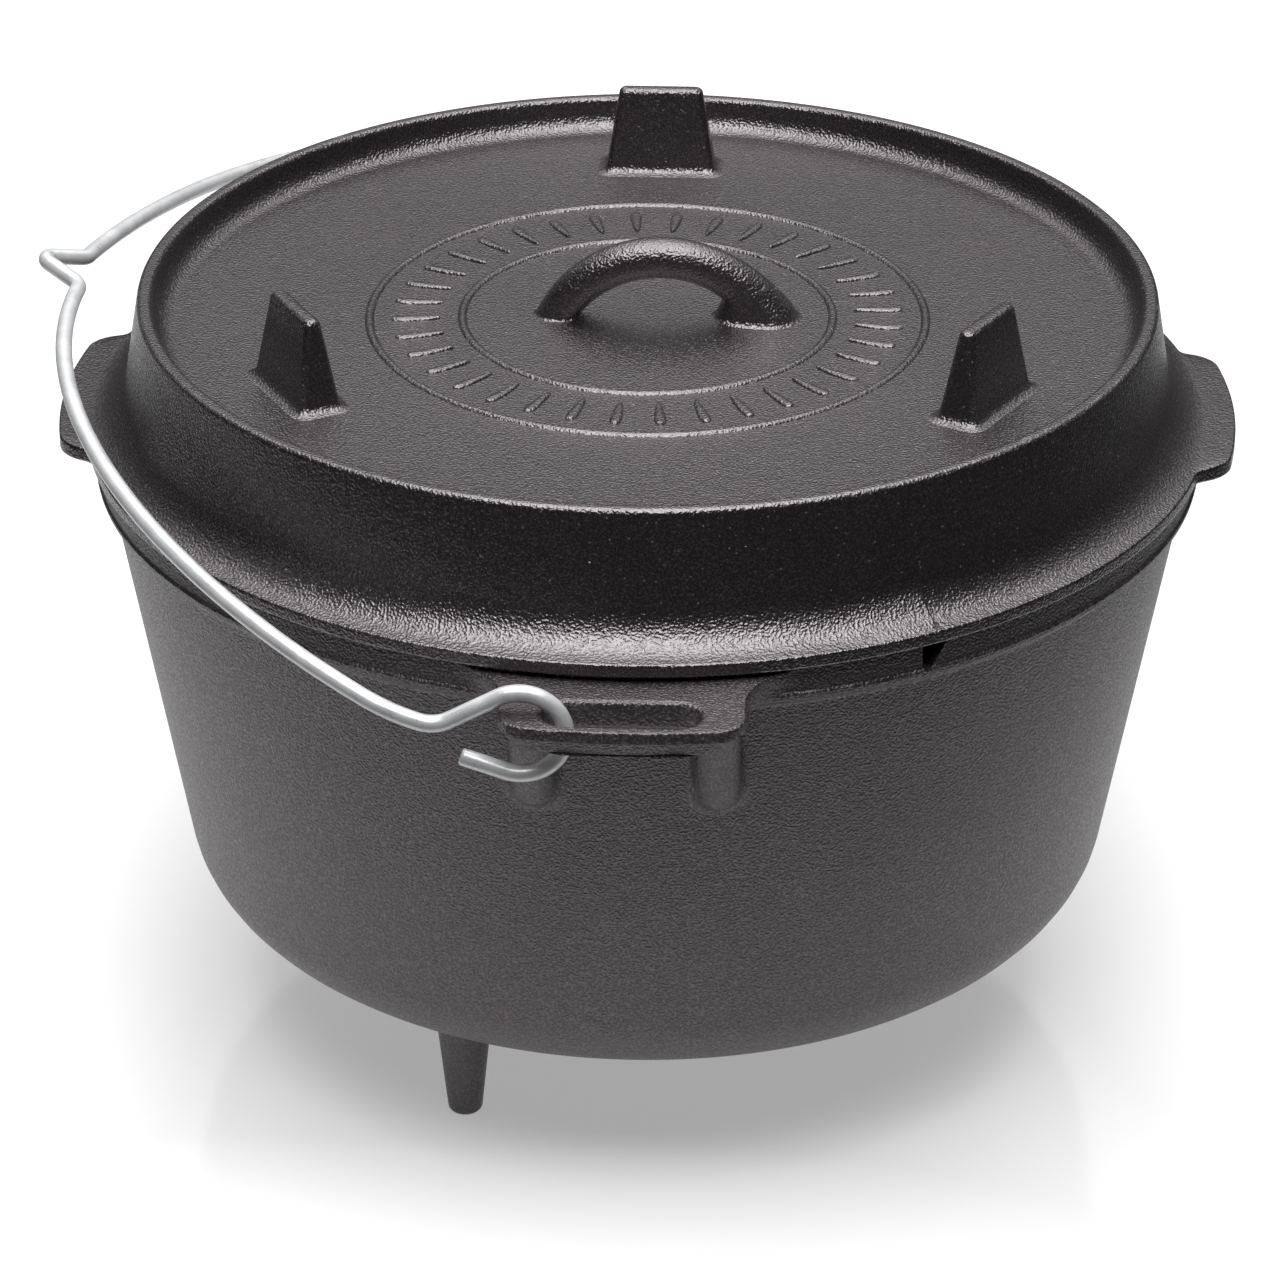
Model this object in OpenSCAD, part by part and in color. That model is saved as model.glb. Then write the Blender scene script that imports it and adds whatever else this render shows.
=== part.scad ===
// Camp dutch oven: a three-legged cast-iron pot, a flanged lid that takes coals, and a wire bail.
// Millimetres, +Z up. The origin is on the pot's axis, on the ground that its legs stand on.
// The ears lie on the Y axis, and the lid's tabs on the X axis. The bail leans to -X.

/* [Pot] */
// Height of the rim above the ground
rim_h = 181; // [160:1:210]
// Outer radius of the rim band
rim_r = 155.5; // [145:0.5:170]
// Height of the rim band
band_h = 12.5; // [8:0.5:18]
// How far the rim band stands out from the wall
band_step = 3; // [1:0.5:5]
// Outer radius where the wall's line meets the underside
base_r = 130.5; // [118:0.5:142]
// Height of the pot's underside above the ground
base_h = 39; // [25:1:55]
// Thickness of the wall
wall_t = 4.8; // [4:0.2:7]
// Thickness of the bottom
base_t = 5.2; // [4:0.2:8]
// Outside radius of the rounded bottom edge
corner_r = 24; // [14:1:36]
// Width of the thermometer notch in the rim
gauge_w = 8; // [5:0.5:12]
// Depth of the thermometer notch
gauge_depth = 8; // [5:0.5:11]
// Direction of the thermometer notch
gauge_turn = 301; // [290:0.5:310]

/* [Legs] */
// Distance of the legs' middle in from the edge of the underside
leg_inset = 33.5; // [28:0.5:45]
// Diameter of a leg at the ground
leg_tip_d = 9.5; // [7:0.5:13]
// Diameter of a leg at the pot's underside
leg_top_d = 17.5; // [14:0.5:22]
// Radius of the rounded edge at the ground
leg_edge_r = 2; // [0.5:0.5:3]
// Direction of the first leg
leg_turn = 0; // [-20:1:20]

/* [Ears] */
// Width of an ear
ear_w = 63; // [58:0.5:76]
// How far an ear reaches beyond the rim band
ear_out = 28.7; // [26:0.1:36]
// Thickness of an ear
ear_t = 8; // [6:0.5:9]
// Height of the upper band on an ear's edge
ear_band = 2.8; // [1.5:0.1:4]
// How far the lower band on an ear's edge is set back
ear_step = 0.8; // [0.4:0.1:1.4]
// How far an ear's top lies below the rim
ear_drop = 1.5; // [0.5:0.5:3]
// Radius of an ear's outer corners
ear_corner_r = 8; // [4:0.5:12]
// Radius of the flare where an ear runs into the rim band
ear_flare_r = 18; // [8:1:26]
// Length of an ear's slot
slot_l = 40.4; // [36:0.2:46]
// Width of an ear's slot
slot_w = 12.5; // [10:0.5:14]
// Width of the bar between the slot and an ear's outer edge
slot_bar = 3.8; // [3:0.2:6]
// Distance of a rib in from the side of an ear
rib_inset = 1.3; // [0.5:0.1:4]
// Diameter of the ribs that carry an ear
rib_d = 12.5; // [9:0.5:15]
// Distance of a rib's end below the rim
rib_end = 38; // [30:1:48]
// Clear room between a rib and the slot
rib_gap = 1.2; // [0.6:0.2:3]

/* [Lid] */
// How far the lid's flange reaches beyond the rim band
flange_out = 2.5; // [1:0.5:5]
// Thickness of the flange at its edge
flange_t = 3.9; // [3:0.1:6]
// Width of the flange in front of the lid's wall
flange_w = 9.2; // [6:0.2:14]
// Slope of the flange's top at its edge, where the hollow below the lid's wall ends
flange_slope = 13; // [0:1:20]
// Height of the lid's crest above the rim
crest_h = 40.4; // [32:0.2:50]
// How far the lid's wall leans in from the flange to the crest
lid_lean = 6.4; // [2:0.2:10]
// Width of the crest
crest_w = 4.2; // [3:0.2:6]
// Depth of the dish for coals
dish_depth = 9.8; // [6:0.2:16]
// Radius of the hollow round the dish's floor
dish_fillet_r = 6; // [2:0.5:9]
// Thickness of the lid's plate and wall
lid_t = 4.8; // [4:0.2:7]
// Depth of the lip that centres the lid in the pot
lip_depth = 4; // [2:0.5:7]
// Room between the lip and the pot's wall
lip_gap = 2.2; // [1:0.1:4]

/* [Lid tabs] */
// Width of a lifting tab at its outer corners
tab_w = 77; // [50:1:90]
// How far a tab reaches beyond the flange
tab_out = 7.8; // [4:0.2:9]
// Thickness of a tab
tab_t = 4.3; // [3.5:0.1:7]
// Radius of a tab's corners
tab_corner_r = 9; // [3:0.5:12]
// Radius where a tab runs into the flange
tab_root_r = 6; // [3:0.5:12]

/* [Lid feet] */
// Distance of the lid's feet in from the edge of the dish's floor
foot_inset = 24.6; // [16:0.2:40]
// Width of a foot at the dish
foot_base_w = 33; // [20:0.5:44]
// Width of a foot at its top
foot_top_w = 24.4; // [14:0.2:30]
// Thickness of a foot at the dish
foot_base_t = 12.4; // [8:0.2:18]
// Thickness of a foot at its top
foot_top_t = 4.4; // [3:0.2:8]
// Height of a foot above the dish
foot_h = 25.4; // [16:0.2:34]
// Direction of the first foot
foot_turn = 90; // [80:1:100]

/* [Lid handle] */
// Distance between the two roots of the handle
handle_span = 59; // [44:0.5:74]
// Height of the handle's middle line above the dish
handle_rise = 17.5; // [15:0.5:26]
// Diameter of the handle
handle_d = 11.6; // [8:0.2:13]
// How far the handle sits off the lid's middle
handle_shift = 4; // [-6:0.5:6]
// Diameter of the boss at the left root
left_boss_d = 13.4; // [13:0.2:20]
// Diameter of the boss at the right root
right_boss_d = 18.6; // [13:0.2:20]
// Height of the boss at each root
boss_h = 5; // [3:0.5:8]

/* [Bail] */
// Diameter of the wire
wire_d = 4.6; // [4:0.1:5.4]
// Angle of the bail above level, as it leans
bail_lean = 19.5; // [14:0.5:30]
// Slack of the eye round the end of the ear
eye_room = 2.4; // [2:0.1:4]
// How far the eye's centre hangs below the middle of the ear
eye_sag = 2.2; // [0:0.1:2.4]
// Length of the straight tail behind the eye
tail_l = 12; // [8:0.5:20]
// Angle at which the wire leaves the eye
eye_exit = 48; // [40:1:60]
// Straight length between the eye and the knee
knee_l = 14; // [10:0.5:18]
// Radius of the knee's middle line
knee_r = 10; // [6:0.5:14]
// Distance of the crown's middle line outside the lid's flange, from above
crown_out = 3; // [2:0.1:10]
// Turn of the front shoulder before the wider crown
front_turn = 26; // [22:1:36]
// Turn of the back shoulder before the wider crown
back_turn = 58; // [44:1:62]
// Slant of the crown where it meets the notch from the front
front_slant = -4; // [-6:1:4]
// Slant of the crown where it meets the notch from the back
back_slant = 14; // [6:1:16]
// How far the notch sits behind the middle of the bail
notch_shift = 16; // [0:0.5:18]
// Half width of the hanging notch at the crown
notch_half = 12; // [11:0.5:15]
// Slope of the notch's sides
notch_turn = 55; // [45:1:62]
// Radius of the bend into the notch
notch_bend_r = 5; // [4:0.5:6.5]
// Radius of the notch's tip
notch_tip_r = 3.2; // [3:0.2:5]

/* [Hidden] */
$fn = 96;
iron = "#37373a";
zinc = "#c8cdd2";
arc_steps = 10;
overlap = 1;
leg_count = 3;
foot_count = 3;
rim_edge = 0.8;
seam_step = 0.05;
seam_lap = 0.3;
knee_lead = 0.6;
// Pot
wall_top_r = rim_r - band_step;
wall_top_h = rim_h - band_h;
wall_lean = atan2(wall_top_r - base_r, wall_top_h - base_h);
wall_skin = wall_t / cos(wall_lean);
floor_h = base_h + base_t;
inner_corner_r = max(corner_r - wall_t, 2);
inner_base_r = base_r + base_t * tan(wall_lean) - wall_skin;
mouth_r = base_r + (rim_h - base_h) * tan(wall_lean) - wall_skin;
leg_circle_r = base_r - leg_inset;
// Ears
ear_reach = rim_r + ear_out;
ear_half = ear_w / 2;
ear_top = rim_h - ear_drop;
ear_under = ear_top - ear_t;
slot_r = ear_reach - slot_bar - slot_w / 2;
slot_end = slot_l / 2;
rib_x = ear_half - rib_d / 2 - rib_inset;
rib_top_r = slot_r - slot_w / 2 - rib_gap - rib_d / 2;
rib_low_h = rim_h - rib_end;
rib_low_r = base_r + (rib_low_h - base_h) * tan(wall_lean) - rib_d / 6;
// Lid
flange_r = rim_r + flange_out;
lid_foot_r = flange_r - flange_w;
crest_r = lid_foot_r - lid_lean;
lid_wall_lean = atan2(lid_lean, crest_h - flange_t);
crest_in_r = crest_r - crest_w;
dish_h = rim_h + crest_h - dish_depth;
dish_r = crest_in_r - dish_fillet_r;
lip_r = mouth_r - lip_gap;
plate_under = dish_h - lid_t;
lid_skin = lid_t / cos(lid_wall_lean);
hollow_r = (flange_w - rim_edge) * cos(lid_wall_lean) / (1 - sin(flange_slope + lid_wall_lean));
lid_in_r = lid_foot_r - (plate_under - rim_h - flange_t) * tan(lid_wall_lean) - lid_skin;
foot_circle_r = dish_r - foot_inset;
tab_reach = flange_r + tab_out;
tab_half = tab_w / 2;
handle_r = (pow(handle_span / 2, 2) + pow(handle_rise, 2)) / (2 * handle_rise);
handle_h = dish_h + handle_rise - handle_r;
handle_half_turn = acos((handle_r - handle_rise - lid_t / 3) / handle_r);
// Bail
wire_r = wire_d / 2;
slim_r = wire_r - seam_step;
eye_r = norm([ear_half - slot_end, ear_t]) / 2 + wire_r + eye_room;
eye_x = -(ear_half + slot_end) / 2;
eye_h = ear_top - ear_t / 2 - eye_sag;
exit_turn = 90 - eye_exit;
knee_out = eye_r * cos(exit_turn) + knee_l * cos(eye_exit);
knee_up = eye_r * sin(exit_turn) - knee_l * sin(eye_exit);
arch_out = knee_out + knee_r * sin(eye_exit);
arch_up = knee_up - knee_r * (1 - cos(eye_exit));
arch_start = arch_out + knee_lead;
arch_reach = (flange_r + crown_out + eye_x + arch_up * sin(bail_lean)) / cos(bail_lean);
notch_leg = (notch_half - (notch_bend_r + notch_tip_r) * sin(notch_turn)) / cos(notch_turn);
notch_run_x = -arch_reach - notch_bend_r * (1 - cos(notch_turn));
notch_run_y = -notch_half + notch_bend_r * sin(notch_turn);
notch_tip_x = notch_run_x - notch_leg * sin(notch_turn) + notch_tip_r * cos(notch_turn);

// Points of an arc from one angle to another
function arc(x, y, r, from, to) =
    [for (i = [0:arc_steps])
        let (a = from + (to - from) * i / arc_steps)
            [x + r * cos(a), y + r * sin(a)]];

// Middle of a rounding of radius r between a level and the wall's line that meets it at radius foot
function corner_x(foot, r) = foot - r * (1 - sin(wall_lean)) / cos(wall_lean);

// Way out from a shoulder's start to the notch, and along from the eye to the notch
function arm_out(slant) = arch_reach - arch_start + notch_bend_r * (1 - cos(slant));
function arm_along(shift, slant) = slot_r - notch_half + shift + notch_bend_r * sin(slant);

// Radii of the shoulder and of the crown that bridge that way without a kink
function arm_bridge(turn, slant) = cos(slant) - sin(turn) - cos(turn + slant);
function shoulder_r(shift, turn, slant) =
    (arm_along(shift, slant) * (cos(slant) - sin(turn)) - arm_out(slant) * (cos(turn) - sin(slant)))
    / arm_bridge(turn, slant);
function crown_r(shift, turn, slant) =
    (arm_out(slant) * (1 - cos(turn)) - arm_along(shift, slant) * sin(turn))
    / arm_bridge(turn, slant);

module pot_outline() {
    polygon(concat(
        [[0, base_h]],
        arc(corner_x(base_r, corner_r), base_h + corner_r, corner_r, -90, -wall_lean),
        [[wall_top_r, wall_top_h],
         [rim_r, wall_top_h + band_step],
         [rim_r, rim_h - rim_edge],
         [rim_r - rim_edge, rim_h],
         [mouth_r, rim_h]],
        arc(corner_x(inner_base_r, inner_corner_r), floor_h + inner_corner_r, inner_corner_r,
            -wall_lean, -90),
        [[0, floor_h]]));
}

module leg() {
    lean = atan2((leg_top_d - leg_tip_d) / 2, base_h);
    grow = (leg_top_d - leg_tip_d) / 2 / base_h;
    top = base_h + base_t / 2;
    edge_x = leg_tip_d / 2 - leg_edge_r * (1 - sin(lean)) / cos(lean);
    rotate_extrude()
        polygon(concat(
            [[0, 0]],
            arc(edge_x, leg_edge_r, leg_edge_r, -90, -lean),
            [[leg_tip_d / 2 + top * grow, top], [0, top]]));
}

// Ear from above, set back all round by an inset
module ear_outline(inset) {
    reach = ear_reach - inset;
    half = ear_half - inset;
    corner_y = sqrt(pow(reach - ear_corner_r, 2) - pow(half - ear_corner_r, 2));
    flare_x = half + ear_flare_r;
    flare_y = sqrt(pow(rim_r + ear_flare_r, 2) - pow(flare_x, 2));
    root = rim_r / (rim_r + ear_flare_r);
    root_y = root * flare_y - band_step - wall_t;
    difference() {
        union() {
            intersection() {
                circle(r = reach, $fn = 360);
                translate([-half + ear_corner_r, root_y])
                    square([2 * (half - ear_corner_r), ear_reach]);
            }
            for (side = [-1, 1])
                translate([side * (half - ear_corner_r), corner_y])
                    circle(r = ear_corner_r);
            translate([-half, root_y])
                square([2 * half, corner_y - root_y]);
            translate([-root * flare_x, root_y])
                square([2 * root * flare_x, flare_y - root_y]);
        }
        for (side = [-1, 1])
            translate([side * flare_x, flare_y])
                circle(r = ear_flare_r);
        slot_outline();
    }
}

module slot_outline() {
    straight = slot_l - slot_w;
    translate([-straight / 2, slot_r - slot_w / 2])
        square([straight, slot_w]);
    for (side = [-1, 1])
        translate([side * straight / 2, slot_r])
            circle(d = slot_w);
}

// Rib under an ear, leaning from the wall out to the ear's underside
module rib() {
    run = rib_top_r - rib_low_r;
    rise = ear_under - rib_low_h;
    translate([0, rib_low_r, rib_low_h]) {
        sphere(d = rib_d);
        intersection() {
            rotate([-atan2(run, rise), 0, 0])
                cylinder(d = rib_d, h = norm([run, rise]) + rib_d);
            translate([-rib_d, -rib_d, -rib_d])
                cube([2 * rib_d, run + 3 * rib_d, rise + rib_d + ear_t / 2]);
        }
    }
}

module ear() {
    translate([0, 0, ear_under])
        linear_extrude(ear_t)
            ear_outline(ear_step);
    translate([0, 0, ear_top - ear_band])
        linear_extrude(ear_band)
            ear_outline(0);
    for (side = [-1, 1])
        translate([side * rib_x, 0, 0])
            rib();
}

// Room inside the pot, grown to half of its wall
module inner_cone() {
    translate([0, 0, floor_h])
        cylinder(r1 = inner_base_r + wall_t / 2, r2 = mouth_r + wall_t / 2, h = rim_h - floor_h, $fn = 180);
}

module pot() {
    color(iron)
        difference() {
            union() {
                rotate_extrude($fn = 180)
                    pot_outline();
                for (i = [1:leg_count])
                    rotate([0, 0, leg_turn + i * 360 / leg_count])
                        translate([leg_circle_r, 0, 0])
                            leg();
                for (turn = [0, 180])
                    rotate([0, 0, turn])
                        difference() {
                            ear();
                            inner_cone();
                        }
            }
            rotate([0, 0, gauge_turn])
                translate([mouth_r - wall_t, -gauge_w / 2, rim_h - gauge_depth])
                    cube([rim_r - mouth_r + 2 * wall_t, gauge_w, gauge_depth + overlap]);
        }
}

module lid_outline() {
    hollow_x = flange_r - rim_edge + hollow_r * sin(flange_slope);
    hollow_h = rim_h + flange_t + hollow_r * cos(flange_slope);
    polygon(concat(
        [[0, plate_under]],
        arc(lid_in_r - dish_fillet_r, plate_under - dish_fillet_r, dish_fillet_r, 90, 0),
        [[lip_r - lip_gap / 2 - lid_t, rim_h - lip_depth],
         [lip_r - lip_gap / 2, rim_h - lip_depth],
         [lip_r, rim_h],
         [flange_r - rim_edge, rim_h],
         [flange_r, rim_h + rim_edge],
         [flange_r, rim_h + flange_t - rim_edge]],
        arc(hollow_x, hollow_h, hollow_r, -90 - flange_slope, lid_wall_lean - 180),
        arc(crest_r - crest_w / 2, rim_h + crest_h - crest_w / 2, crest_w / 2, 0, 180),
        arc(dish_r, dish_h + dish_fillet_r, dish_fillet_r, 0, -90),
        [[0, dish_h]]));
}

module tab_outline() {
    corner_x = sqrt(pow(tab_reach - tab_corner_r, 2) - pow(tab_half - tab_corner_r, 2));
    root_y = tab_half + tab_root_r;
    root_x = sqrt(pow(flange_r + tab_root_r, 2) - pow(root_y, 2));
    root = flange_r / (flange_r + tab_root_r);
    back_x = root * root_x - flange_w / 2;
    difference() {
        union() {
            intersection() {
                circle(r = tab_reach, $fn = 360);
                translate([back_x, -tab_half + tab_corner_r])
                    square([tab_reach, tab_w - 2 * tab_corner_r]);
            }
            for (side = [-1, 1])
                translate([corner_x, side * (tab_half - tab_corner_r)])
                    circle(r = tab_corner_r);
            translate([back_x, -tab_half])
                square([corner_x - back_x, tab_w]);
            translate([back_x, -root * root_y])
                square([root_x - back_x, 2 * root * root_y]);
        }
        for (side = [-1, 1])
            translate([root_x, side * root_y])
                circle(r = tab_root_r);
    }
}

// One view of a foot, standing in the dish
module foot_outline(base, top) {
    low = dish_h - overlap;
    high = dish_h + foot_h;
    polygon([[-base / 2, low], [base / 2, low], [top / 2, high], [-top / 2, high]]);
}

// Foot as the common solid of its broad view and its narrow view
module foot() {
    intersection() {
        rotate([90, 0, 90])
            translate([0, 0, -foot_base_t])
                linear_extrude(2 * foot_base_t)
                    foot_outline(foot_base_w, foot_top_w);
        rotate([90, 0, 0])
            translate([0, 0, -foot_base_w])
                linear_extrude(2 * foot_base_w)
                    foot_outline(foot_base_t, foot_top_t);
    }
}

module handle_boss(side, wide) {
    translate([handle_shift + side * handle_span / 2, 0, dish_h - lid_t / 2])
        cylinder(d1 = wide, d2 = handle_d, h = boss_h + lid_t / 2);
}

module handle() {
    translate([handle_shift, 0, handle_h])
        rotate([90, 0, 0])
            rotate([0, 0, 90 - handle_half_turn])
                rotate_extrude(angle = 2 * handle_half_turn, $fn = 120)
                    translate([handle_r, 0])
                        circle(d = handle_d);
    handle_boss(-1, left_boss_d);
    handle_boss(1, right_boss_d);
}

module lid() {
    color(iron) {
        rotate_extrude($fn = 180)
            lid_outline();
        for (turn = [0, 180])
            rotate([0, 0, turn])
                translate([0, 0, rim_h])
                    linear_extrude(tab_t)
                        difference() {
                            tab_outline();
                            circle(r = lid_foot_r - lid_t / 2, $fn = 360);
                        }
        for (i = [1:foot_count])
            rotate([0, 0, foot_turn + i * 360 / foot_count])
                translate([foot_circle_r, 0, 0])
                    foot();
        handle();
    }
}

// Bend of wire of a given thickness in the level plane, about (x, y)
module flat_bend(x, y, r, from, turn, thick_r) {
    translate([x, y, arch_up])
        rotate([0, 0, from])
            rotate_extrude(angle = turn, $fn = 180)
                translate([r, 0])
                    circle(r = thick_r, $fn = 32);
}

// Slimmer straight wire, which reaches a little into the bend at each end
module run(length) {
    rotate([0, 90, 0])
        translate([0, 0, -seam_lap])
            cylinder(r = slim_r, h = length + 2 * seam_lap, $fn = 32);
}

// Straight wire in the level plane, from (x, y) along an angle
module flat_run(x, y, turn, length) {
    translate([x, y, arch_up])
        rotate([0, 0, turn])
            run(length);
}

// Bend of wire in the upright plane, about (x, z)
module upright_bend(x, z, r, turn) {
    translate([x, z])
        rotate([0, 0, -90])
            rotate_extrude(angle = turn, $fn = 120)
                translate([r, 0])
                    circle(r = wire_r, $fn = 32);
}

// Eye, knee and tail in the upright plane through one ear's slot
module hook() {
    rotate([90, 0, 0]) {
        upright_bend(0, 0, eye_r, 180 + eye_exit);
        translate([-tail_l, -eye_r])
            run(tail_l);
        translate([-eye_r * cos(exit_turn), eye_r * sin(exit_turn)])
            rotate([0, 0, 180 + eye_exit])
                run(knee_l);
        upright_bend(-arch_out, arch_up + knee_r, knee_r, eye_exit);
    }
}

// One half of the bail, from its eye to the side of the notch
module half_bail(shift, turn, slant) {
    round_r = shoulder_r(shift, turn, slant);
    wide_r = crown_r(shift, turn, slant);
    lap_turn = seam_lap / wide_r * 180 / PI;
    bend_x = -arch_reach - notch_bend_r;
    bend_y = shift - notch_half;
    translate([0, -slot_r, 0])
        hook();
    flat_run(-arch_start, -slot_r, 0, knee_lead);
    flat_bend(-arch_start, -slot_r + round_r, round_r, 270 - turn, turn, wire_r);
    flat_bend(bend_x + (notch_bend_r + wide_r) * cos(slant), bend_y + (notch_bend_r + wide_r) * sin(slant),
        wide_r, 180 + slant - lap_turn, 90 - turn - slant + 2 * lap_turn, slim_r);
    flat_bend(bend_x, bend_y, notch_bend_r, slant, notch_turn - slant, wire_r);
    flat_run(notch_run_x, shift + notch_run_y, 90 + notch_turn, notch_leg);
}

module bail() {
    color(zinc)
        translate([eye_x, 0, eye_h])
            rotate([0, bail_lean, 0]) {
                half_bail(notch_shift, front_turn, front_slant);
                mirror([0, 1, 0])
                    half_bail(-notch_shift, back_turn, back_slant);
                flat_bend(notch_tip_x, notch_shift, notch_tip_r, 180 - notch_turn, 2 * notch_turn, wire_r);
            }
}

pot();
lid();
bail();
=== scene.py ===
import math

import bpy
import numpy as np
from mathutils import Matrix, Vector
from mathutils.geometry import tessellate_polygon


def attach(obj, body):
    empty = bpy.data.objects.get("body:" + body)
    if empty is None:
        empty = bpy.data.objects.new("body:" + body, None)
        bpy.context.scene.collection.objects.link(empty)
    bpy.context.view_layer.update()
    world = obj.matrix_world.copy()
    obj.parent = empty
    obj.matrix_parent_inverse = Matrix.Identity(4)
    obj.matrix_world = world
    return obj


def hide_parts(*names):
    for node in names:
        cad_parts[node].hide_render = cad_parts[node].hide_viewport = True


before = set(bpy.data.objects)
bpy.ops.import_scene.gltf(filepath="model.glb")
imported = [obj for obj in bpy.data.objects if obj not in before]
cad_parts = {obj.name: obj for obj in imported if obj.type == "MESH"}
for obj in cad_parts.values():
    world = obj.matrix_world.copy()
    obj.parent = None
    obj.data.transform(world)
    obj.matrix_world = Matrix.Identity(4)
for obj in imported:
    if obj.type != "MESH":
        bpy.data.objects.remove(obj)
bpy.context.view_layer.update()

MM = 0.001

# Sizes in millimetres and degrees, as in the construction
RIM_H = 181.0
RIM_R = 155.5
BASE_H = 39.0
BASE_R = 130.5
WALL_MID = (144.94, 124.0)
WALL_TOP = (152.5, 168.5)
MOUTH_R = 149.754
FLOOR_R = 126.51
FLOOR_H = 44.2
EAR_TOP = 179.5
EAR_UNDER = 171.5
EAR_REACH = 184.2
EAR_HALF = 31.5
SLOT_R = 174.15
SLOT_L = 40.4
SLOT_W = 12.5
RIB_X = 23.95
RIB_R = 6.25
LEG_RING_R = 97.0
LEG_H = 39.05
LEG_TIP_R = 4.75
LEG_ROOT_R = 8.75
GAUGE_NOTCH_TURN = 301
LID_CAVITY = (140.09, 206.8)
LID_RING_H = 177
LID_WALL_FOOT = (148.445, 186.92)
FLANGE_EDGE_H = 184.715
DISH_H = 211.6
DISH_R = 138.2
CREST_H = 221.4
FLANGE_R = 158.0
TAB_REACH = 165.8
TAB_HALF = 38.5
TAB_CORNER_R = 9
FOOT_RING_R = 107.6
LOOP_X = 4.0
LOOP_RISE = 17.5
LOOP_R = 5.8
WIRE_R = 2.3
WIRE_END_R = 1.9
BAIL_PIVOT = (-25.85, 0, 173.3)
BAIL_LEAN = 19.5

# Finish of the lid, in millimetres and degrees
RING_RADII = (78.0, 52.0)
RING_HALF_W = 1.3
RING_H = 0.8
RAY_RING_R = 65
RAY_COUNT = 36
INDEX_TURN = 291
INDEX_SPAN = 9.7

# Share of the white surroundings that reflections show
REFLECTED_SHARE = 0.03


# Shape helpers


def rounded(corners, steps=7):
    """Line through corners (x, y, radius), each rounded by its radius."""
    pts = [np.array(c[:2], float) for c in corners]
    out = [pts[0]]
    for i in range(1, len(pts) - 1):
        r = corners[i][2]
        p = pts[i]
        d1 = pts[i - 1] - p
        d2 = pts[i + 1] - p
        d1 /= np.linalg.norm(d1)
        d2 /= np.linalg.norm(d2)
        if r <= 0:
            out.append(p)
            continue
        half = math.acos(max(-1.0, min(1.0, float(d1 @ d2)))) / 2
        t = r / math.tan(half)
        mid = d1 + d2
        centre = p + mid / np.linalg.norm(mid) * (r / math.sin(half))
        v1 = p + d1 * t - centre
        v2 = p + d2 * t - centre
        a1 = math.atan2(v1[1], v1[0])
        turn = math.atan2(v1[0] * v2[1] - v1[1] * v2[0], float(v1 @ v2))
        for k in range(steps + 1):
            a = a1 + turn * k / steps
            out.append(centre + r * np.array([math.cos(a), math.sin(a)]))
    out.append(pts[-1])
    return np.array(out)


def subdivided(line, gap, low, high):
    """Line with extra points where it runs between two heights."""
    out = [line[0]]
    for a, b in zip(line[:-1], line[1:]):
        n = 1
        if low <= min(a[1], b[1]) and max(a[1], b[1]) <= high:
            n = max(1, math.ceil(np.linalg.norm(b - a) / gap))
        for k in range(1, n + 1):
            out.append(a + (b - a) * k / n)
    return np.array(out)


def angles(step, windows, fine):
    """Angles once round, closer together in the windows."""
    a = list(np.arange(0, 360, step))
    for low, high in windows:
        a += list(np.arange(low, high, fine))
    a = np.unique(np.round(np.array(a) % 360, 4))
    return np.radians(a)


def lathe(line, turn, bend=None):
    """Surface that a line makes round the axis; bend moves its points."""
    r = np.repeat(line[:, :1], len(turn), 1)
    z = np.repeat(line[:, 1:2], len(turn), 1)
    a = np.repeat(turn[None, :], len(line), 0)
    if bend:
        r, z = bend(r, z, a)
    grid = np.stack([r * np.cos(a), r * np.sin(a), z], -1)
    verts = []
    rows = []
    for i in range(len(line)):
        if line[i, 0] < 1e-6:
            rows.append(np.full(len(turn), len(verts)))
            verts.append(grid[i, 0])
        else:
            rows.append(np.arange(len(turn)) + len(verts))
            verts.extend(grid[i])
    faces = []
    n = len(turn)
    for low, high in zip(rows[:-1], rows[1:]):
        for j in range(n):
            k = (j + 1) % n
            face = [low[j], low[k], high[k], high[j]]
            face = list(dict.fromkeys(int(v) for v in face))
            if len(face) > 2:
                faces.append(face)
    return np.array(verts), faces


def strip(loops):
    """Skin through closed loops of the same length."""
    n = len(loops[0])
    verts = np.concatenate(loops)
    faces = []
    for i in range(len(loops) - 1):
        for j in range(n):
            k = (j + 1) % n
            faces.append([i * n + j, i * n + k, (i + 1) * n + k, (i + 1) * n + j])
    return verts, faces


def capped(loops):
    """Skin through closed loops, with both ends filled."""
    verts, faces = strip(loops)
    n = len(loops[0])
    faces.append(list(range(n))[::-1])
    faces.append([len(verts) - n + j for j in range(n)])
    return verts, faces


def joined(parts):
    """One (points, faces) pair out of several."""
    verts = []
    faces = []
    count = 0
    for v, f in parts:
        verts.append(np.asarray(v, float))
        faces += [[i + count for i in face] for face in f]
        count += len(v)
    return np.concatenate(verts), faces


def turned(part, degrees):
    a = math.radians(degrees)
    m = np.array([[math.cos(a), -math.sin(a), 0], [math.sin(a), math.cos(a), 0], [0, 0, 1]])
    return part[0] @ m.T, part[1]


def moved(part, x, y, z):
    return part[0] + np.array([x, y, z]), part[1]


def smooth_min(a, b, k):
    """Lesser of two distances, blended over k where they are close."""
    h = np.clip(0.5 + 0.5 * (b - a) / k, 0, 1)
    return b + (a - b) * h - k * h * (1 - h)


def mesh_object(name, part, material, sharp=38):
    """Object from millimetres, smooth except over edges steeper than sharp."""
    mesh = bpy.data.meshes.new(name)
    mesh.from_pydata((part[0] * MM).tolist(), [], part[1])
    mesh.validate()
    mesh.shade_smooth()
    mesh.set_sharp_from_angle(angle=math.radians(sharp))
    obj = bpy.data.objects.new(name, mesh)
    bpy.context.scene.collection.objects.link(obj)
    mesh.materials.append(material)
    return obj


# Materials


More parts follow.
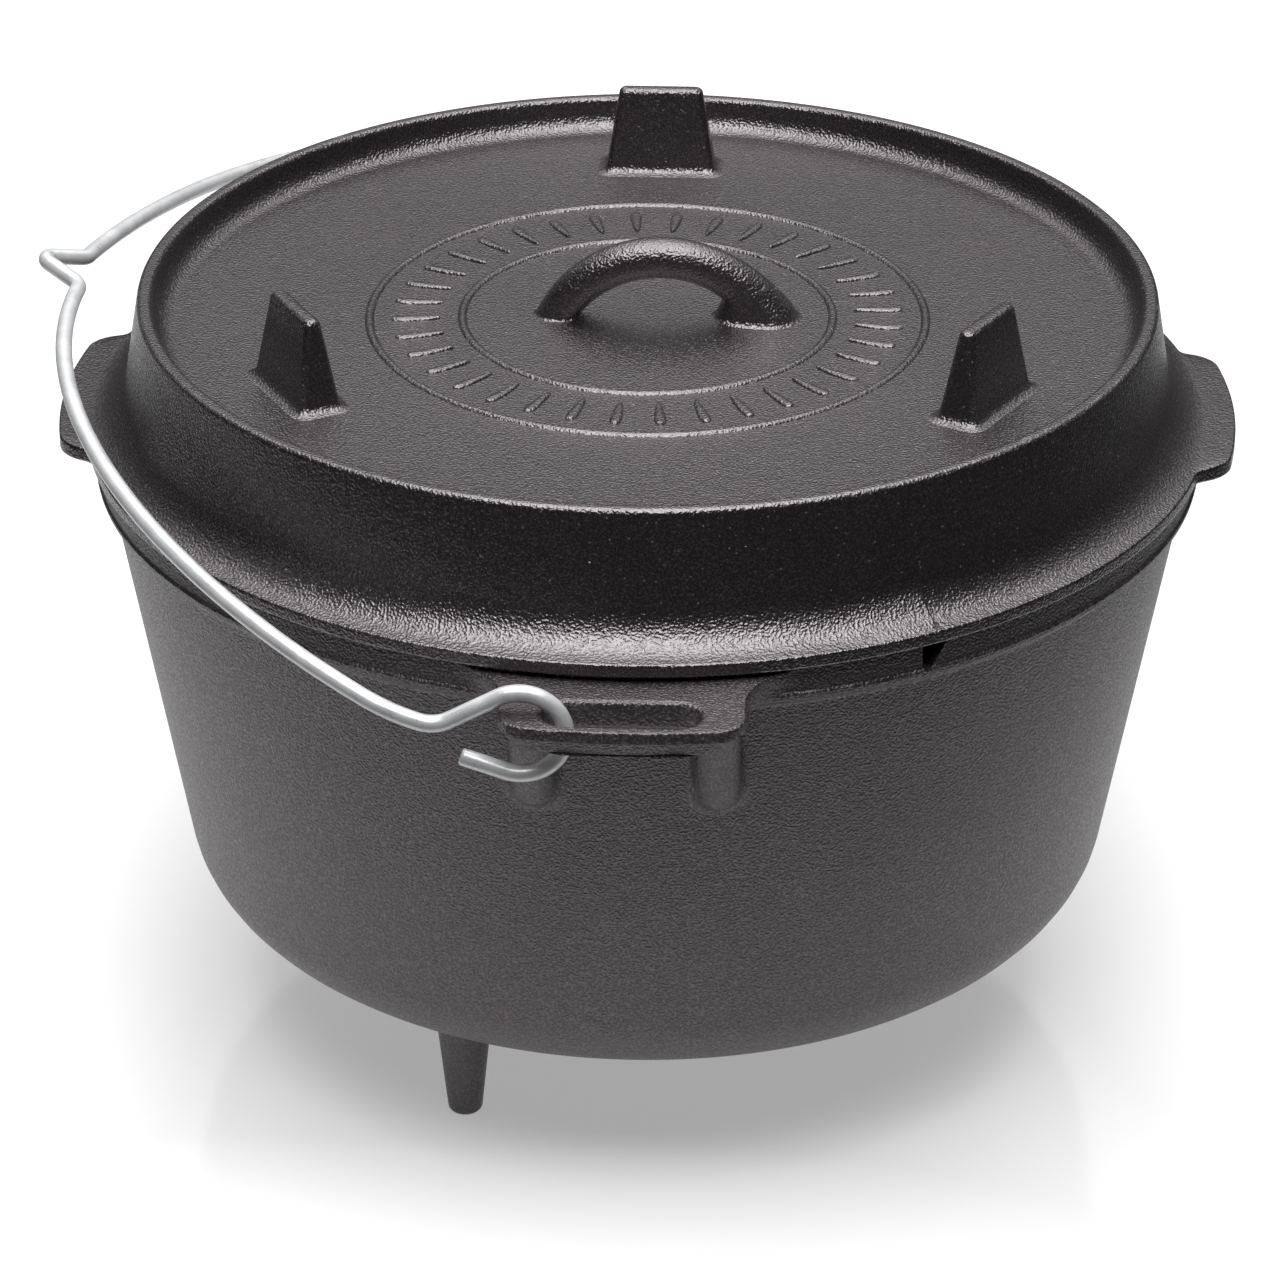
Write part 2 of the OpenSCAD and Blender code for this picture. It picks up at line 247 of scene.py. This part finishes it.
def node(tree, kind, inputs=None, **props):
    """Shader node whose inputs are sockets to link or plain values."""
    n = tree.nodes.new(kind)
    for key, value in props.items():
        setattr(n, key, value)
    for key, value in (inputs or {}).items():
        if isinstance(value, bpy.types.NodeSocket):
            tree.links.new(value, n.inputs[key])
        else:
            n.inputs[key].default_value = value
    return n


def ramp(tree, fac, stops):
    n = node(tree, "ShaderNodeValToRGB", {"Fac": fac})
    elements = n.color_ramp.elements
    while len(elements) < len(stops):
        elements.new(0.5)
    for element, (pos, colour) in zip(elements, stops):
        element.position = pos
        element.color = (*colour, 1)
    return n.outputs["Color"]


def calc(tree, operation, *values):
    return node(tree, "ShaderNodeMath", dict(enumerate(values)), operation=operation).outputs[0]


def remap(tree, value, low, high, to_low=0.0, to_high=1.0, **props):
    inputs = {"Value": value, "From Min": low, "From Max": high, "To Min": to_low, "To Max": to_high}
    return node(tree, "ShaderNodeMapRange", inputs, **props).outputs["Result"]


def noise(tree, at, scale, detail, rough=0.5):
    inputs = {"Vector": at, "Scale": scale, "Detail": detail, "Roughness": rough}
    return node(tree, "ShaderNodeTexNoise", inputs).outputs["Fac"]


def cells(tree, at, scale):
    """Distance to the nearest cell's centre, and that cell's random colour."""
    n = node(tree, "ShaderNodeTexVoronoi", {"Vector": at, "Scale": scale, "Randomness": 1.0})
    return n.outputs["Distance"], node(tree, "ShaderNodeSeparateColor", {"Color": n.outputs["Color"]}).outputs


def mix(tree, fac, a, b, kind="MIX"):
    inputs = {"Factor": fac, "A": a, "B": b}
    return node(tree, "ShaderNodeMix", inputs, data_type="RGBA", blend_type=kind).outputs["Result"]


def bump(tree, height, strength, distance, normal=None):
    inputs = {"Height": height, "Strength": strength, "Distance": distance}
    if normal is not None:
        inputs["Normal"] = normal
    return node(tree, "ShaderNodeBump", inputs).outputs["Normal"]


def new_material(name):
    material = bpy.data.materials.new(name)
    material.use_nodes = True
    tree = material.node_tree
    at = node(tree, "ShaderNodeTexCoord").outputs["Object"]
    return material, tree, tree.nodes["Principled BSDF"], at


def cast_iron(name, dark, light, smooth, rough, ior, relief, painted_glints):
    """Sand-cast iron: cloudy colour, sandy grain, small pits and edges lightened as wear, with painted light
    in the colour: painted sparkle in the grain, painted shade in the pits and a painted highlight along the
    edges.

    smooth and rough are the roughness of the grains' tops and hollows, relief
    is their height in metres, and the last argument is the share of grains
    painted as light dots, a painted highlight.
    """
    material, tree, shader, at = new_material(name)
    cloud = noise(tree, at, 26.0, 5.0, 0.62)
    sand = noise(tree, at, 1450.0, 0.6, 0.6)
    lump = noise(tree, at, 240.0, 3.0, 0.6)
    pit_far, pit_chance = cells(tree, at, 210.0)
    sparkle_far, sparkle_chance = cells(tree, at, 1100.0)

    base = ramp(tree, cloud, [(0.3, dark), (0.7, light)])
    # Grains painted lighter and darker: partly the iron's own grain, partly painted sparkle of facets
    # catching light.
    speck_and_sparkle = ramp(tree, sand, [(0.36, (0.3, 0.29, 0.3)), (0.5, (0.9, 0.9, 0.9)), (0.64, (4.2, 4.0, 3.95))])
    grained_and_sparkled = mix(tree, 1.0, base, speck_and_sparkle, "MULTIPLY")

    # Pits darkened in the colour: painted shade in their hollows.
    spread = calc(tree, "MULTIPLY_ADD", pit_chance["Red"], 3.0, 0.6)
    reach = calc(tree, "MULTIPLY", pit_far, spread)
    pits_and_painted_shade = ramp(tree, reach, [(0.06, (0.15, 0.15, 0.15)), (0.11, (1, 1, 1))])
    pitted_and_shaded = mix(tree, 1.0, grained_and_sparkled, pits_and_painted_shade, "MULTIPLY")

    # Convex edges lightened: partly wear, partly a painted highlight along the edges.
    edge = node(tree, "ShaderNodeNewGeometry").outputs["Pointiness"]
    wear_and_highlight = calc(tree, "MULTIPLY", remap(tree, edge, 0.56, 0.65), lump)
    worn_and_highlit = mix(tree, wear_and_highlight, pitted_and_shaded, (0.2, 0.193, 0.193, 1))

    # A few grains painted light: painted sparkle, a painted highlight.
    rare = calc(tree, "GREATER_THAN", sparkle_chance["Green"], 1.0 - painted_glints)
    painted_glint = calc(tree, "MULTIPLY", rare, remap(tree, sparkle_far, 0.34, 0.16))
    colour = mix(tree, painted_glint, worn_and_highlit, (0.2, 0.2, 0.205, 1))

    normal = bump(tree, lump, 0.12, 0.0008)
    normal = bump(tree, sand, 1.0, relief, normal)
    normal = bump(tree, pits_and_painted_shade, 0.5, 0.0003, normal)

    tree.links.new(colour, shader.inputs["Base Color"])
    tree.links.new(remap(tree, sand, 0.65, 0.35, smooth, rough), shader.inputs["Roughness"])
    tree.links.new(normal, shader.inputs["Normal"])
    shader.inputs["IOR"].default_value = ior
    shader.inputs["Specular Tint"].default_value = (1, 0.935, 0.965, 1)
    return material


def zinc_wire(name):
    """Drawn wire with a bright, clouded zinc coat."""
    material, tree, shader, at = new_material(name)
    cloud = noise(tree, at, 160.0, 4.0, 0.6)
    fine = noise(tree, at, 1400.0, 2.0)
    colour = ramp(tree, cloud, [(0.3, (0.66, 0.67, 0.69)), (0.7, (0.84, 0.845, 0.85))])
    tree.links.new(colour, shader.inputs["Base Color"])
    tree.links.new(remap(tree, cloud, 0.3, 0.7, 0.26, 0.38), shader.inputs["Roughness"])
    tree.links.new(bump(tree, fine, 0.15, 0.0002), shader.inputs["Normal"])
    shader.inputs["Metallic"].default_value = 0.38
    return material


POT_IRON = cast_iron(
    "pot_iron",
    dark=(0.012, 0.0101, 0.0111),
    light=(0.024, 0.0206, 0.0224),
    smooth=0.36,
    rough=0.5,
    ior=1.9,
    relief=0.00042,
    painted_glints=0.0,
)
LID_IRON = cast_iron(
    "lid_iron",
    dark=(0.005, 0.0042, 0.0046),
    light=(0.009, 0.0077, 0.0083),
    smooth=0.2,
    rough=0.34,
    ior=2.2,
    relief=0.0003,
    painted_glints=0.04,
)
WIRE = zinc_wire("bail_wire")


# Pot


def rib_distance(x, y, z, side, front):
    """Distance to a rib's round bar."""
    a = np.array([side * RIB_X, front * 146.08, 143.0])
    b = np.array([side * RIB_X, front * 159.7, 170.0])
    d = b - a
    px, py, pz = x - a[0], y - a[1], z - a[2]
    t = np.clip((px * d[0] + py * d[1] + pz * d[2]) / (d @ d), 0, 1)
    return np.sqrt((px - t * d[0]) ** 2 + (py - t * d[1]) ** 2 + (pz - t * d[2]) ** 2) - RIB_R


def rib_bend(r, z, a):
    """Wall of the pot, pushed out where the ribs are."""
    outer = (z > 125) & (z < 176) & (r > 128.5 + (z - 39) * 0.17)
    t = np.full(r.shape, 172.0)
    for _ in range(70):
        x, y = t * np.cos(a), t * np.sin(a)
        near = 1e3
        for side in (-1, 1):
            for front in (-1, 1):
                near = np.minimum(near, rib_distance(x, y, z, side, front))
        t = t - 0.8 * smooth_min(t - r, near, 4.0)
    return np.where(outer, np.maximum(t, r), r), z


def pot_bowl():
    """Bowl from the base's centre, up the outside and down the inside."""
    line = rounded(
        [
            (0, BASE_H, 0),
            (BASE_R, BASE_H, 24),
            (*WALL_MID, 0),
            (*WALL_TOP, 3),
            (RIM_R + 0.3, WALL_TOP[1] + 2.6, 0.8),
            (RIM_R + 0.6, WALL_TOP[1] + 4.2, 0.7),
            (RIM_R, WALL_TOP[1] + 5.0, 0.7),
            (RIM_R, RIM_H, 1.1),
            (MOUTH_R, RIM_H, 1.1),
            (FLOOR_R, FLOOR_H, 19.2),
            (0, FLOOR_H, 0),
        ],
        9,
    )
    line = subdivided(line, 1.2, 120, 176)
    windows = [(76, 86), (94, 104), (256, 266), (274, 284)]
    return lathe(line, angles(1.0, windows, 0.25), rib_bend)


def notched(part):
    """Bowl with the thermometer's notch cut through its rim."""
    plain = bpy.data.materials.new("cut")
    bowl = mesh_object("bowl", part, plain)
    sides = ((-3.4, -1.4, 173.0), (-3.9, -0.6, 173.7), (-4.0, 4.0, RIM_H), (-4.0, 4.0, RIM_H + 2))
    loops = []
    near, far = 144, 162
    for left, right, h in sides:
        loops.append(np.array([[near, left, h], [far, left, h], [far, right, h], [near, right, h]], float))
    cutter = mesh_object("cutter", turned(capped(loops), GAUGE_NOTCH_TURN), plain)
    cut = bowl.modifiers.new("cut", "BOOLEAN")
    cut.operation = "DIFFERENCE"
    cut.solver = "EXACT"
    cut.object = cutter
    bpy.context.view_layer.update()
    mesh = bpy.data.meshes.new_from_object(bowl.evaluated_get(bpy.context.evaluated_depsgraph_get()))
    verts = np.array([v.co for v in mesh.vertices]) / MM
    faces = [list(p.vertices) for p in mesh.polygons]
    for o in (bowl, cutter):
        bpy.data.objects.remove(o)
    bpy.data.meshes.remove(mesh)
    bpy.data.materials.remove(plain)
    return verts, faces


def arc(x, y, r, start, stop, n):
    a = np.radians(np.linspace(start, stop, n))
    return np.stack([x + r * np.cos(a), y + r * np.sin(a)], -1)


def ear_loop(inset):
    """Ear from above, set back all round."""
    reach = EAR_REACH - inset
    half = EAR_HALF - inset
    corner = 8.0
    flare = 18.0
    corner_y = math.sqrt((reach - corner) ** 2 - (half - corner) ** 2)
    corner_turn = math.degrees(math.atan2(corner_y, half - corner))
    flare_x = half + flare
    flare_y = math.sqrt((RIM_R + flare) ** 2 - flare_x**2)
    root = RIM_R / (RIM_R + flare)
    root_turn = math.degrees(math.atan2(flare_y, flare_x))
    right = [
        np.array([[root * flare_x * 0.978, root * flare_y * 0.978]]),
        arc(flare_x, flare_y, flare, 180 + root_turn, 180, 14),
        arc(half - corner, corner_y, corner, 0, corner_turn, 10),
        arc(0, 0, reach, corner_turn, 90, 10)[1:],
    ]
    right = np.concatenate(right)
    left = right[:-1][::-1] * np.array([-1, 1])
    return np.concatenate([right, left])


def slot_loop(grow):
    """Slot of the ear from above, widened all round."""
    r = SLOT_W / 2 + grow
    half = (SLOT_L - SLOT_W) / 2
    return np.concatenate([arc(half, SLOT_R, r, -90, 90, 16), arc(-half, SLOT_R, r, 90, 270, 16)])


def level(loop, z):
    """Flat loop set at a height."""
    return np.column_stack([loop, np.full(len(loop), z)])


def quarter(r, n=4):
    """(inset, drop) pairs round an edge of radius r, from its top."""
    return [(r - r * math.sin(a), r - r * math.cos(a)) for a in np.linspace(0, math.pi / 2, n + 1)]


def ear():
    """Plate with a slot, its edge stepped in and drafted below the parting line."""
    edge = [(i, EAR_TOP - d) for i, d in quarter(0.6)]
    edge += [(i, EAR_TOP - d) for i, d in ((0, 3.2), (0.25, 3.5), (0.85, 3.7), (0.95, 4.0))]
    edge += [(2.1 + i, EAR_UNDER + d) for i, d in quarter(1.2)[::-1]]
    hole = [(i, EAR_TOP - d) for i, d in quarter(1.5)]
    hole += [(i, EAR_UNDER + d) for i, d in quarter(1.5)[::-1]]
    outer = strip([level(ear_loop(i), z) for i, z in edge])
    inner = strip([level(slot_loop(i), z) for i, z in hole])
    outer = outer[0], [f[::-1] for f in outer[1]]
    parts = [outer, inner]
    for (i, z), (j, _), up in ((edge[0], hole[0], True), (edge[-1], hole[-1], False)):
        loops = [level(ear_loop(i), z), level(slot_loop(j), z)]
        verts = np.concatenate(loops)
        tris = tessellate_polygon([[Vector(p) for p in loop] for loop in loops])
        faces = []
        for t in tris:
            p = verts[list(t)]
            normal = np.cross(p[1] - p[0], p[2] - p[0])[2]
            faces.append(list(t) if (normal > 0) == up else list(t)[::-1])
        parts.append((verts, faces))
    return joined(parts)


def leg():
    """Tapered leg that runs out into the base."""
    line = rounded([(0, 0, 0), (LEG_TIP_R, 0, 2), (LEG_ROOT_R, LEG_H, 6), (18, LEG_H, 0)], 8)
    return lathe(line, angles(9.0, [], 1))


def pot_casting():
    parts = [notched(pot_bowl()), ear(), turned(ear(), 180)]
    for i in range(3):
        parts.append(turned(moved(leg(), LEG_RING_R, 0, 0), 120 * i))
    return mesh_object("pot_casting", joined(parts), POT_IRON)


# Lid


def tab_reach(a):
    """Flange's radius at an angle, with its two lifting tabs."""
    t = np.full(a.shape, 172.0)
    for _ in range(60):
        x, y = np.abs(t * np.cos(a)), t * np.sin(a)
        q = np.maximum(np.abs(y) - (TAB_HALF - TAB_CORNER_R), -50)
        s = np.maximum(t - (TAB_REACH - TAB_CORNER_R), -50)
        tab = np.minimum(np.maximum(q, s), 0) + np.hypot(np.maximum(q, 0), np.maximum(s, 0)) - TAB_CORNER_R
        tab = np.maximum(tab, 100 - x)
        t = t - 0.7 * smooth_min(t - FLANGE_R, tab, 3.0)
    return np.maximum(t, FLANGE_R)


def lid_bend(r, z, a):
    """Flange drawn out to its tabs, with the index step on its top."""
    grow = tab_reach(a[0]) - FLANGE_R
    edge = (r > 157.15) & (z > 180) & (z < 190)
    turn = np.degrees(a) % 360
    top = (z > 184) & (z < 196) & (r > 147)
    swell = np.clip((r - 147.2) / 2.5, 0, 1) * np.clip((157.1 - r) / 1.5, 0, 1)
    rise = (turn - INDEX_TURN) / INDEX_SPAN
    step = np.where((rise > 0) & (rise < 1), rise, 0)
    z = z + np.where(top, step * swell, 0) + np.where(edge & (z > 183), 0.07 * grow[None, :], 0)
    return np.where(edge, r + grow[None, :], r), z


def lid_plate():
    """Plate from the cavity's centre, round the flange and back over the dish."""
    line = rounded(
        [
            (0, LID_CAVITY[1], 0),
            (*LID_CAVITY, 6),
            (141.65, LID_RING_H, 0.9),
            (146.45, LID_RING_H, 0.9),
            (147.55, RIM_H, 0.4),
            (FLANGE_R, RIM_H, 0.8),
            (FLANGE_R, FLANGE_EDGE_H, 0.8),
            (*LID_WALL_FOOT, 13.4),
            (142.4, CREST_H, 1.7),
            (DISH_R, CREST_H, 1.7),
            (DISH_R, DISH_H, 6),
            (0, DISH_H, 0),
        ],
        14,
    )
    rings = []
    for centre in RING_RADII:
        rings.append((centre + 2.2, DISH_H))
        for k in range(9):
            x = math.cos(math.pi * k / 8)
            rings.append((centre + RING_HALF_W * x, DISH_H + RING_H * (1 - x * x)))
        rings.append((centre - 2.2, DISH_H))
    line = np.concatenate([line[:-1], np.array(rings), line[-1:]])
    windows = [(8, 20), (160, 172), (188, 200), (340, 352), (290, 302)]
    return lathe(line, angles(1.0, windows, 1 / 3), lid_bend)


def rounded_rectangle(a, b, r, n=6):
    corners = [(a - r, b - r, 0), (-a + r, b - r, 90), (-a + r, -b + r, 180), (a - r, -b + r, 270)]
    return np.concatenate([arc(x, y, r, s, s + 90, n) for x, y, s in corners])


def foot():
    """Tapered foot with soft edges, which flows out into the dish."""
    high, edge, flare = 25.4, 1.5, 2.6
    root_a, root_b = 16.5, 6.2
    top_a, top_b = 12.2, 2.2
    rows = [(flare - math.sqrt(flare**2 - (flare - h) ** 2), h) for h in np.linspace(0, flare, 6)]
    rows += [(0, h) for h in (8, 14, 20)]
    rows += [(-i, high - d) for i, d in quarter(edge, 6)[::-1]]
    loops = []
    for grow, h in rows:
        t = (h + 1) / (high + 1)
        a = root_a + (top_a - root_a) * t + grow
        b = root_b + (top_b - root_b) * t + grow
        r = min(2.0 + max(grow, 0), b - 0.05)
        loops.append(level(rounded_rectangle(b, a, r), DISH_H + h))
    return capped(loops)


def sweep(path, radii, n):
    """Round bar along a path."""
    path = np.asarray(path, float)
    along = np.gradient(path, axis=0)
    along /= np.linalg.norm(along, axis=1)[:, None]
    side = np.cross(along[0], [0.0, 1.0, 0.0])
    loops = []
    for p, d, r in zip(path, along, radii):
        side = side - d * (side @ d)
        side /= np.linalg.norm(side)
        other = np.cross(d, side)
        a = np.linspace(0, 2 * math.pi, n, endpoint=False)
        loops.append(p + r * (np.cos(a)[:, None] * side + np.sin(a)[:, None] * other))
    return loops


def handle():
    """Loop that thickens towards its right root and runs out into the dish."""
    bend_r, half = 33.614, 61.5
    root_x, root_slope = 18.6, 0.46
    turn = np.linspace(-74, -46, 60)
    turn = np.concatenate([turn, np.linspace(-45, 45, 60), -turn[::-1]])
    a = np.radians(90 - turn)
    centre_h = DISH_H + LOOP_RISE - bend_r
    path = np.stack([LOOP_X + bend_r * np.cos(a), 0 * a, centre_h + bend_r * np.sin(a)], -1)
    t = np.clip(turn / half, -1, 1)
    radii = LOOP_R + np.where(t < 0, -0.4 * t**2, 2.2 * t**4)
    loops = sweep(path, radii, 40)
    for p, loop in zip(path, loops):
        right = p[0] > LOOP_X
        flare = 1.3 if right else 0.9
        above = np.maximum(loop[:, 2] - DISH_H, 0)
        h = np.minimum(above, flare)
        grow = flare - np.sqrt(flare**2 - (flare - h) ** 2)
        away = loop - p
        away[:, 2] = 0
        away /= np.maximum(np.linalg.norm(away, axis=1), 1e-6)[:, None]
        if right:
            over = np.maximum(loop[:, 0] - root_x - root_slope * above, 0)
            loop[:, 0] -= over * np.clip(-away[:, 0], 0, 1)
        loop += away * grow[:, None]
        loop[:, 2] = np.maximum(loop[:, 2], DISH_H - 0.3)
    return strip(loops)


def ray():
    """Low rounded bar of the ring of rays."""
    high, half_l, half_w, widening = 0.9, 6.0, 1.5, 0.06
    loops = []
    for k in range(5):
        s = math.cos(math.pi / 2 * k / 4.3)
        h = high * math.sin(math.pi / 2 * k / 4.3)
        a = np.linspace(0, 2 * math.pi, 20, endpoint=False)
        c, d = np.cos(a), np.sin(a)
        x = np.sign(c) * np.abs(c) ** 0.6 * (half_l + s)
        y = np.sign(d) * np.abs(d) ** 0.8 * half_w * s * (1 + widening * x)
        loops.append(level(np.column_stack([x + RAY_RING_R, y]), DISH_H - 0.1 + h))
    return capped(loops)


def lid_casting():
    parts = [lid_plate(), handle()]
    for i in range(3):
        parts.append(turned(moved(foot(), FOOT_RING_R, 0, 0), 90 + 120 * i))
    for i in range(RAY_COUNT):
        parts.append(turned(ray(), 360 / RAY_COUNT * (i + 0.5)))
    return mesh_object("lid_casting", joined(parts), LID_IRON)


# Bail


def bail_half(shift, turn, slant):
    """Middle line of one half of the bail, from its tail to the notch's tip."""
    eye_r, tail, leave, knee_r = 11.623, 12.0, 48.0, 10.0
    arch_out, arch_up, start, reach = 25.437, -5.936, 26.037, 141.273
    half, bend, bend_r, tip_r, leg_l = 12.0, 55.0, 5.0, 3.2, 9.211
    ts, tc = math.sin(math.radians(turn)), math.cos(math.radians(turn))
    ss, sc = math.sin(math.radians(slant)), math.cos(math.radians(slant))
    out = reach - start + bend_r * (1 - sc)
    along = SLOT_R - half + shift + bend_r * ss
    bridge = sc - ts - math.cos(math.radians(turn + slant))
    shoulder_r = (along * (sc - ts) - out * (tc - ss)) / bridge
    crown_r = (out * (1 - tc) - along * ts) / bridge
    upright = np.concatenate(
        [
            np.array([[-tail, -eye_r], [-tail + 0.5, -eye_r], [-tail / 2, -eye_r]]),
            arc(0, 0, eye_r, -90, 90 + leave, 60),
            arc(-arch_out, arch_up + knee_r, knee_r, -90 + leave, -90, 14),
        ]
    )
    upright = np.column_stack([upright[:, 0], np.full(len(upright), -SLOT_R), upright[:, 1]])
    bend_x, bend_y = -reach - bend_r, shift - half
    crown_x, crown_y = bend_x + (bend_r + crown_r) * sc, bend_y + (bend_r + crown_r) * ss
    tip_x = bend_x + (bend_r + tip_r) * math.cos(math.radians(bend)) - leg_l * math.sin(math.radians(bend))
    flat = np.concatenate(
        [
            arc(-start, -SLOT_R + shoulder_r, shoulder_r, 270, 270 - turn, 20),
            arc(crown_x, crown_y, crown_r, 270 - turn, 180 + slant, 60)[1:],
            arc(bend_x, bend_y, bend_r, slant, bend, 12)[1:],
            arc(tip_x, shift, tip_r, 180 + bend, 180, 10),
        ]
    )
    return np.concatenate([upright, np.column_stack([flat, np.full(len(flat), arch_up)])])


def bail_path():
    """Middle line of the whole bail, leaning as it hangs at rest."""
    front = bail_half(shift=16.0, turn=26.0, slant=-4.0)
    back = bail_half(shift=-16.0, turn=58.0, slant=14.0)[:-1][::-1] * np.array([1, -1, 1])
    lean = math.radians(BAIL_LEAN)
    m = np.array([[math.cos(lean), 0, math.sin(lean)], [0, 1, 0], [-math.sin(lean), 0, math.cos(lean)]])
    return np.concatenate([front, back]) @ m.T + np.array(BAIL_PIVOT)


def bail_wire():
    path = bail_path()
    radii = np.full(len(path), WIRE_R)
    radii[[0, -1]] = WIRE_END_R
    part = capped(sweep(path, radii, 24))
    part = part[0], [f[::-1] for f in part[1]]
    return mesh_object("bail_wire", part, WIRE)


pot = pot_casting()
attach(pot, "pot")
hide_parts("pot")
lid = lid_casting()
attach(lid, "lid")
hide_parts("lid")
bail = bail_wire()
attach(bail, "bail")
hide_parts("bail")


# Stage, light and camera


def background_rays(tree, path):
    """1 where the camera sees the white surroundings, and far less in reflections."""
    seen = calc(tree, "MAXIMUM", path["Is Camera Ray"], path["Is Transmission Ray"])
    return calc(tree, "MULTIPLY_ADD", path["Is Glossy Ray"], REFLECTED_SHARE, seen)


def studio():
    """Glossy floor, pale near and behind the object and painted black beyond it as painted shade for
    reflections, where the camera sees white; camera-only glow also paints the floor lighter towards the
    front, sides and back, fading the object's shadow.
    """
    material, tree, shader, at = new_material("studio_floor")
    split = node(tree, "ShaderNodeSeparateXYZ", {"Vector": at}).outputs
    x, y = split["X"], split["Y"]
    across = calc(tree, "ADD", x, 0.07)
    held = node(tree, "ShaderNodeClamp", {"Value": y, "Min": 0.16, "Max": 1.3}).outputs[0]
    along = calc(tree, "SUBTRACT", y, held)
    offset = node(tree, "ShaderNodeCombineXYZ", {"X": across, "Y": along}).outputs[0]
    far = node(tree, "ShaderNodeVectorMath", {0: offset}, operation="LENGTH").outputs["Value"]
    pale = remap(tree, far, 0.62, 0.26, interpolation_type="SMOOTHSTEP")
    # Far from the object the floor is painted black: painted shade that reflections show in place of unlit
    # surroundings.
    floor_shade_ramp = ramp(tree, pale, [(0.0, (0.01, 0.01, 0.01)), (1.0, (0.66, 0.66, 0.665))])
    tree.links.new(floor_shade_ramp, shader.inputs["Base Color"])
    shader.inputs["Roughness"].default_value = 0.12
    shader.inputs["IOR"].default_value = 1.6

    path = node(tree, "ShaderNodeLightPath").outputs
    near_rays = calc(tree, "MAXIMUM", path["Is Camera Ray"], path["Is Glossy Ray"])
    near_rays = calc(tree, "MAXIMUM", near_rays, path["Is Transmission Ray"])
    near_glow = calc(tree, "MULTIPLY", near_rays, remap(tree, pale, 0.0, 1.0, 0.0, 0.36))
    # Camera-only glow that paints the floor lighter towards the front, sides and back, fading the object's
    # shadow and reflection: painted light.
    front = remap(tree, y, -0.1, -0.24, 0.0, 0.75)
    back = remap(tree, y, 0.25, 0.8, 0.0, 0.65)
    beside = remap(tree, calc(tree, "ABSOLUTE", x), 0.13, 0.27, 0.0, 0.5)
    beyond = remap(tree, pale, 0.0, 1.0, 0.97, 0.0)
    ends = calc(tree, "MAXIMUM", front, back)
    sides = calc(tree, "MAXIMUM", beside, beyond)
    all_round = calc(tree, "MAXIMUM", ends, sides)
    far_glow = calc(tree, "MULTIPLY", background_rays(tree, path), all_round)
    shader.inputs["Emission Color"].default_value = (1, 1, 1, 1)
    tree.links.new(calc(tree, "ADD", near_glow, far_glow), shader.inputs["Emission Strength"])

    mesh = bpy.data.meshes.new("floor")
    s = 8.0
    mesh.from_pydata([(-s, -s, 0), (s, -s, 0), (s, s, 0), (-s, s, 0)], [], [(0, 1, 2, 3)])
    floor = bpy.data.objects.new("floor", mesh)
    mesh.materials.append(material)
    bpy.context.scene.collection.objects.link(floor)
    floor.location.z = -0.0002


def lamp(name, place, size, watts):
    """Soft box that shines straight down."""
    data = bpy.data.lights.new(name, "AREA")
    data.shape = "RECTANGLE"
    data.size, data.size_y = size
    data.energy = watts
    obj = bpy.data.objects.new(name, data)
    obj.location = place
    bpy.context.scene.collection.objects.link(obj)


def surroundings():
    """Soft light from behind and above, on white surroundings."""
    world = bpy.data.worlds.new("surroundings")
    world.use_nodes = True
    tree = world.node_tree
    at = node(tree, "ShaderNodeTexCoord").outputs["Generated"]
    split = node(tree, "ShaderNodeSeparateXYZ", {"Vector": at}).outputs
    behind = remap(tree, split["Y"], 0.1, 0.6)
    height = remap(tree, split["Z"], 0.4, 0.62, 0.13, 1.4)
    soft = calc(tree, "MULTIPLY", behind, height)
    path = node(tree, "ShaderNodeLightPath").outputs
    shader = tree.nodes["Background"]
    tree.links.new(calc(tree, "MAXIMUM", background_rays(tree, path), soft), shader.inputs["Strength"])
    shader.inputs["Color"].default_value = (1, 1, 1, 1)
    bpy.context.scene.world = world


def camera():
    """Camera of the photo, from its fitted angles and distance."""
    turn, rise, roll = math.radians(-2.15), math.radians(28.08), math.radians(0.11)
    aside, high, distance = -1.39, 107.39, 1458.46
    forward = np.array([math.sin(turn) * math.cos(rise), math.cos(turn) * math.cos(rise), -math.sin(rise)])
    right = np.array([math.cos(turn), -math.sin(turn), 0])
    target = right * aside + np.array([0, 0, high])
    up = np.cross(right, forward)
    right = right * math.cos(roll) + up * math.sin(roll)
    up = np.cross(right, forward)
    place = (target - distance * forward) * MM
    data = bpy.data.cameras.new("camera")
    data.sensor_width = 36
    data.lens = 140.72
    obj = bpy.data.objects.new("camera", data)
    m = Matrix.Identity(4)
    for i in range(3):
        m[i][0], m[i][1], m[i][2], m[i][3] = right[i], up[i], -forward[i], place[i]
    obj.matrix_world = m
    bpy.context.scene.collection.objects.link(obj)
    bpy.context.scene.camera = obj


studio()
lamp("overhead", (0, 0.27, 1.45), (1.3, 0.78), 10)
lamp("overhead_front", (0, -0.62, 1.45), (1.3, 1.0), 22)
surroundings()
camera()
bpy.context.scene.view_settings.view_transform = "Standard"
